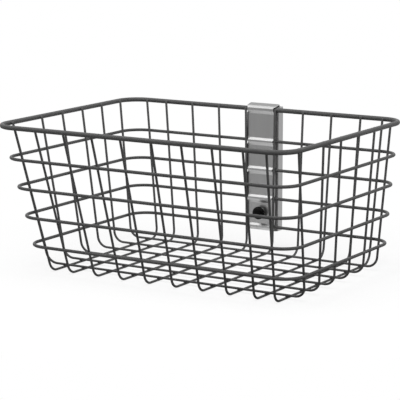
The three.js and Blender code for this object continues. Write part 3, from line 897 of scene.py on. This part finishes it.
def plate_route(bracket):
    """The plate's front face from its tail under the lowest hoop up to the hook's lip, and its notches."""
    crest, flat = plate_levels(bracket)
    back = box_of("clamp_plate")[1][1]
    middles = np.sort(BASKET.hoop_heights) - bracket.bead_drop
    beads = [bead_levels(z, BASKET.hoop_radius, bracket) for z in middles]
    tail_back = bracket.tail * (flat - crest) / bracket.bead_fall
    corners = [(0.0, crest + tail_back, beads[0][1] - bracket.tail)]
    for i, (low, crest_low, crest_high, high) in enumerate(beads):
        if i > 0:
            corners.append((0.0, flat, low))
        corners += [(0.0, crest, crest_low), (0.0, crest, crest_high), (0.0, flat, high)]
    rim_low, rim_crest, _, _ = bead_levels(BASKET.rim_height, BASKET.rim_radius, bracket)
    wrap = BASKET.rim_radius + bracket.clearance + bracket.sheet
    shoulder = wrap * math.tan(math.pi / 8)
    rim = BASKET.rim_height
    hook_top = rim + wrap + bracket.hook_lift
    corners += [(0.0, flat, rim_low), (0.0, crest, rim_crest), (0.0, crest, rim + shoulder),
                (0.0, crest + wrap - shoulder, rim + wrap), (0.0, back, hook_top),
                (0.0, back, hook_top - bracket.hook_lip)]
    radii = [bracket.bend] * (len(corners) - 3) + [bracket.hook_bend]
    return rounded_route(corners, radii, SHEET_BEND_STEPS), beads, rim_low


def plate_half_widths(z, beads, rim_low, bracket, leg):
    """Half the plate's width at each height: full on the flats, narrow between the back legs."""
    full = bracket.plate_width / 2
    run = bracket.notch_round
    channel_top = box_of("back_channel")[1][2] + bracket.clearance
    notches = [(low, high - run, high) for low, _, _, high in beads]
    notches.append((rim_low, channel_top, channel_top + run / 2))
    half = np.full(len(z), full)
    for low, widens, high in notches:
        narrow = leg(low) - BASKET.mesh_radius - bracket.wire_clearance
        share_in = smooth_step(z, low, low + run) * (1 - smooth_step(z, widens, high))
        half -= share_in * (full - narrow)
    return half


class WIREBASKET_OT_clamp_plate(bpy.types.Operator):
    """Make the pressed clamp plate"""
    bl_idname = "wire_basket.clamp_plate"
    bl_label = "Clamp Plate"

    def execute(self, context):
        settings = context.scene.wire_basket
        bracket = settings.bracket
        route, beads, rim_low = plate_route(bracket)
        route = resample(route, bracket.edge, PLATE_STEP)
        leg = cross_line(CROSS_NODES[len(CROSS_NODES) // 2], wire_top(settings))
        half = plate_half_widths(route[:, 2], beads, rim_low, bracket, leg)
        strip = bent_strip(route, X_AXIS, -half, half, bracket)
        stud_radius, screw_z = screw_place()
        holes = [(stud_radius + bracket.clearance, (0.0, plate_levels(bracket)[1], screw_z))]
        make_sheet("clamp_plate_pressed", "clamp_plate", strip, holes, settings)
        return {"FINISHED"}


class WIREBASKET_OT_back_channel(bpy.types.Operator):
    """Make the folded channel behind the back wall"""
    bl_idname = "wire_basket.back_channel"
    bl_label = "Back Channel"

    def execute(self, context):
        settings = context.scene.wire_basket
        bracket = settings.bracket
        low, high = box_of("back_channel")
        half, front, back = high[0], low[1], high[1]
        inner = half - bracket.lip
        corners = [(-inner, front, 0.0), (-half, front, 0.0), (-half, back, 0.0),
                   (half, back, 0.0), (half, front, 0.0), (inner, front, 0.0)]
        radii = [bracket.lip_bend, bracket.fold, bracket.fold, bracket.lip_bend]
        route = rounded_route(corners, radii, SHEET_BEND_STEPS)
        route = resample(route, bracket.edge, CHANNEL_STEP)
        level = np.ones(len(route))
        strip = bent_strip(route, Z_AXIS, low[2] * level, high[2] * level, bracket)
        stud_radius, screw_z = screw_place()
        web = back - bracket.sheet / 2
        holes = [(stud_radius + bracket.clearance, (0.0, web, screw_z))]
        for z in (screw_z + bracket.fixing_above_screw, high[2] - bracket.fixing_top_inset):
            holes.append((bracket.fixing_hole / 2, (0.0, web, z)))
        make_sheet("back_channel_folded", "back_channel", strip, holes, settings)
        return {"FINISHED"}


def turned_piece(name, node, body, slot, radii, depths, settings, closed_rows=False):
    """Makes a piece turned about the screw's axis, with depths measured from the back of its CAD node."""
    centre = np.array([0.0, box_of(node)[1][1], screw_place()[1]])
    points = turned(radii, depths, round_angles(radii.shape[1]), centre)
    make_piece(name, (points, grid_quads(*radii.shape, closed_rows)), body, slot, settings, node)


def make_knob(settings):
    """Low dome on a collar, with a blind socket and grip ribs in its upright rim, turned about the screw.

    The dome is a quarter ellipse. A rib takes depth * (1 + cos(ribs * a)) / 2 off the rim's radius and
    fades towards the middle of the dome.
    """
    screw = settings.screw
    low, high = box_of("thumb_knob")
    radius, height = (high[0] - low[0]) / 2, high[1] - low[1]
    socket = screw_place()[0] + screw.socket_clearance
    depth = height - screw.crown_wall
    under = screw.knob_collar
    brim = under + screw.knob_skirt
    crown = height - brim
    lip = screw.edge * 2
    collar = screw.collar_width / 2
    b = np.linspace(0, math.pi / 2, DOME_POINTS)[1:]
    r = np.concatenate([[0, socket, socket, collar - lip, collar, collar, radius - lip, radius, radius],
                        radius * np.cos(b)])
    d = np.concatenate([[depth, depth, 0, 0, lip, under, under, under + lip, brim],
                        brim + crown * np.sin(b)])
    a = round_angles(FACETS_PER_RIB * screw.ribs)
    rib = screw.rib_depth * (1 + np.cos(screw.ribs * a)) / 2
    fade = np.clip((r / radius - RIB_START) / RIB_RUN_IN, 0, 1) * (d <= brim + RIB_TOP * crown)
    r = r[:, None] - fade[:, None] * rib
    turned_piece("thumb_knob_moulded", "thumb_knob", "thumb_screw", "knob_plastic", r, d, settings)


def make_stud(settings):
    """Threaded stud: the radius falls by the thread's depth along a triangle wave of depth / pitch less the
    share of a turn, which is a right-hand helix, and the free end is chamfered."""
    screw = settings.screw
    low, high = box_of("screw_stud")
    radius, total = screw_place()[0], high[1] - low[1]
    d = np.arange(0.0, total, screw.thread_pitch / STEPS_PER_PITCH)
    d = np.append(d, total)
    a = round_angles(STUD_SIDES)
    wave = np.abs(2 * np.mod(d[:, None] / screw.thread_pitch - a / (2 * math.pi), 1) - 1)
    r = radius - screw.thread_depth * wave
    r = np.minimum(r, (radius - screw.stud_chamfer + d)[:, None])
    r = np.pad(r, ((1, 1), (0, 0)))
    d = np.pad(d, 1, mode="edge")
    turned_piece("screw_stud_threaded", "screw_stud", "thumb_screw", "zinc_hardware", r, d, settings)


def make_ring(name, node, body, outer, settings):
    """A washer or nut: a flat ring with chamfered edges, whose outer radius may change with the angle."""
    low, high = box_of(node)
    thickness = high[1] - low[1]
    edge = settings.screw.edge
    hole = np.full(RING_SIDES, screw_place()[0] + settings.bracket.clearance)
    r = np.stack([hole, outer - edge, outer, outer, outer - edge, hole])
    d = np.array([0.0, 0.0, edge, thickness - edge, thickness, thickness])
    turned_piece(name, node, body, "zinc_hardware", r, d, settings, closed_rows=True)


def hexagon(flat_radius):
    """Radius of a hexagon at evenly spaced angles, with corners at 0 and every sixth of a turn."""
    return flat_radius / np.cos(np.mod(round_angles(RING_SIDES), math.pi / 3) - math.pi / 6)


class WIREBASKET_OT_thumb_screw(bpy.types.Operator):
    """Make the thumb screw with its washer and its nut"""
    bl_idname = "wire_basket.thumb_screw"
    bl_label = "Thumb Screw"

    def execute(self, context):
        settings = context.scene.wire_basket
        make_knob(settings)
        make_stud(settings)
        low, high = box_of("knob_washer")
        outer = np.full(RING_SIDES, (high[0] - low[0]) / 2)
        make_ring("knob_washer_turned", "knob_washer", "screw_washer", outer, settings)
        low, high = box_of("weld_nut")
        make_ring("weld_nut_hexagon", "weld_nut", "basket", hexagon((high[2] - low[2]) / 2), settings)
        return {"FINISHED"}


def seen_share(tree, for_camera=None):
    """1 for rays from a mirror reflection or through glass, 1 or a given value for the camera's, else 0."""
    path = tree.nodes.new("ShaderNodeLightPath")
    seen = path.outputs["Is Camera Ray"]
    if for_camera:
        seen = add_math(tree, "MULTIPLY", seen, for_camera)
    for name in ("Is Glossy Ray", "Is Transmission Ray"):
        seen = add_math(tree, "MAXIMUM", seen, path.outputs[name])
    return seen


def make_world(stage):
    """Plain white where it is seen, and an even soft light elsewhere."""
    world = bpy.data.worlds.new("soft_studio")
    tree = bare_tree(world)
    level = add_range(tree, seen_share(tree), stage.world_level, 1.0)
    background = add_node(tree, "ShaderNodeBackground", Color=WHITE, Strength=level)
    end_in(tree, background, "ShaderNodeOutputWorld")
    bpy.context.scene.world = world


def stage_mesh(name, points, faces, material):
    """A mesh of the stage."""
    mesh = bpy.data.meshes.new(name)
    mesh.from_pydata(points, [], faces)
    mesh.materials.append(material)
    return link_object(name, mesh)


def make_floor(stage):
    """White floor that keeps the shadow under the basket and is plain white further out where it is seen.

    It throws less light back on the basket than it shows.
    """
    material = bpy.data.materials.new("white_floor")
    tree = bare_tree(material)
    bounced = tree.nodes.new("ShaderNodeLightPath").outputs["Is Diffuse Ray"]
    tone = add_mix(tree, bounced, FLOOR_TONE, (stage.floor_bounce,) * 3)
    lit = add_node(tree, "ShaderNodeBsdfDiffuse", Color=tone)
    plain = add_node(tree, "ShaderNodeEmission", Color=WHITE, Strength=1.0)
    away = tree.nodes.new("ShaderNodeVectorMath")
    away.operation = "LENGTH"
    tree.links.new(object_place(tree), away.inputs[0])
    white = add_node(tree, "ShaderNodeMapRange", Value=away.outputs["Value"], From_Min=stage.floor_near,
                     From_Max=stage.floor_far, To_Min=stage.floor_glow, To_Max=1.0)
    shown = tree.nodes.new("ShaderNodeMixShader")
    tree.links.new(seen_share(tree, white.outputs["Result"]), shown.inputs["Fac"])
    tree.links.new(lit.outputs[0], shown.inputs[1])
    tree.links.new(plain.outputs[0], shown.inputs[2])
    end_in(tree, shown)
    half = stage.floor_size / 2
    corners = [(-half, -half, 0), (half, -half, 0), (half, half, 0), (-half, half, 0)]
    floor = stage_mesh("floor", corners, [(0, 1, 2, 3)], material)


def make_card(stage):
    """Card round the plate that only mirror reflections show: a flat ring and a cone that rises from it.

    At the angle a from the front a point lies at (r sin a, -r cos a) from the plate's foot. The card is
    grey at the left, dark at the right and pale at its far end. At the right it comes nearer to the foot.
    """
    foot = (0.0, box_of("clamp_plate")[0][1])
    degrees = np.linspace(*CARD_ENDS, CARD_COLUMNS)
    a = np.radians(degrees)
    ring = np.stack([np.sin(a), -np.cos(a)], axis=-1)
    near = CARD_NEAR[0] + (CARD_NEAR[1] - CARD_NEAR[0]) * smooth_step(degrees, *CARD_NEARS)
    profile = ((near, CARD_LIFT), (CARD_FOLD, CARD_LIFT), (CARD_OUTER, CARD_TOP))
    rows = [np.column_stack([foot + ring * np.full(len(a), radius)[:, None], np.full(len(a), z)])
            for radius, z in profile]
    levels = stage.card_left + (stage.card_right - stage.card_left) * smooth_step(degrees, *CARD_DARKENS)
    levels += (stage.card_back - stage.card_right) * smooth_step(degrees, *CARD_PALES)
    material = bpy.data.materials.new("grey_card")
    tree = bare_tree(material)
    end_in(tree, add_node(tree, "ShaderNodeEmission", Color=WHITE, Strength=add_attribute(tree, "level")))
    quads = grid_quads(len(profile), len(a), closed_columns=False)
    card = stage_mesh("grey_card", np.concatenate(rows).tolist(), quads, material)
    stored = card.data.attributes.new("level", "FLOAT", "POINT")
    stored.data.foreach_set("value", np.tile(levels, len(profile)))
    card.visible_camera = False
    card.visible_diffuse = False
    card.visible_shadow = False
    card.visible_transmission = False


def add_lamp(lamp, watts):
    """Square soft lamp that faces a target."""
    light = bpy.data.lights.new(lamp.name, "AREA")
    light.shape = "SQUARE"
    light.size = lamp.size
    light.energy = watts
    holder = link_object(lamp.name, light)
    holder.visible_glossy = lamp.mirrored
    aim = unit(np.asarray(lamp.target, dtype=float) - np.asarray(lamp.place))
    holder.location = lamp.place
    holder.rotation_euler = (math.acos(-aim[2]), 0.0, math.atan2(-aim[0], aim[1]))


def make_camera(stage):
    """Camera at the photograph's viewing angle."""
    camera = bpy.data.cameras.new("camera")
    camera.lens = stage.lens
    camera.sensor_width = SENSOR_WIDTH
    holder = link_object("camera", camera)
    holder.location = stage.camera_place
    holder.rotation_euler = (math.pi / 2 - stage.camera_tilt, 0.0, stage.camera_turn)
    bpy.context.scene.camera = holder


class WIREBASKET_OT_stage(bpy.types.Operator):
    """Set the camera, the lamps, the floor and the world"""
    bl_idname = "wire_basket.stage"
    bl_label = "Stage"

    def execute(self, context):
        stage = context.scene.wire_basket.stage
        make_world(stage)
        make_floor(stage)
        make_card(stage)
        make_camera(stage)
        for lamp in LAMPS:
            add_lamp(lamp, getattr(stage, lamp.power))
        context.scene.view_settings.view_transform = "Standard"
        return {"FINISHED"}


OPERATORS = (
    WIREBASKET_OT_hoops,
    WIREBASKET_OT_mesh_wires,
    WIREBASKET_OT_welds,
    WIREBASKET_OT_clamp_plate,
    WIREBASKET_OT_back_channel,
    WIREBASKET_OT_thumb_screw,
    WIREBASKET_OT_stage,
)


class WIREBASKET_PT_panel(bpy.types.Panel):
    """Settings and steps of the wire basket"""
    bl_idname = "WIREBASKET_PT_panel"
    bl_label = "Wire Basket"
    bl_space_type = "VIEW_3D"
    bl_region_type = "UI"
    bl_category = "Wire Basket"

    def draw(self, context):
        settings = context.scene.wire_basket
        for name in ("wires", "bracket", "screw", "finish", "stage"):
            group = getattr(settings, name)
            box = self.layout.box()
            box.label(text=name.capitalize())
            for key in group.__annotations__:
                box.prop(group, key)
        for operator in OPERATORS:
            self.layout.operator(operator.bl_idname)


CLASSES = (
    WireSettings, BracketSettings, ScrewSettings, FinishSettings, StageSettings, BasketSettings,
    *OPERATORS, WIREBASKET_PT_panel,
)


def register():
    """Adds the classes and the settings to Blender."""
    for cls in CLASSES:
        bpy.utils.register_class(cls)
    bpy.types.Scene.wire_basket = PointerProperty(
        name="Wire basket", description="Settings of the wire basket", type=BasketSettings)


def unregister():
    """Takes the settings and the classes out of Blender."""
    del bpy.types.Scene.wire_basket
    for cls in reversed(CLASSES):
        bpy.utils.unregister_class(cls)


def main():
    """Makes every piece and the stage."""
    register()
    bpy.ops.wire_basket.hoops()
    bpy.ops.wire_basket.mesh_wires()
    bpy.ops.wire_basket.welds()
    bpy.ops.wire_basket.clamp_plate()
    bpy.ops.wire_basket.back_channel()
    bpy.ops.wire_basket.thumb_screw()
    bpy.ops.wire_basket.stage()
    bpy.context.view_layer.update()


if __name__ == "__main__":
    main()
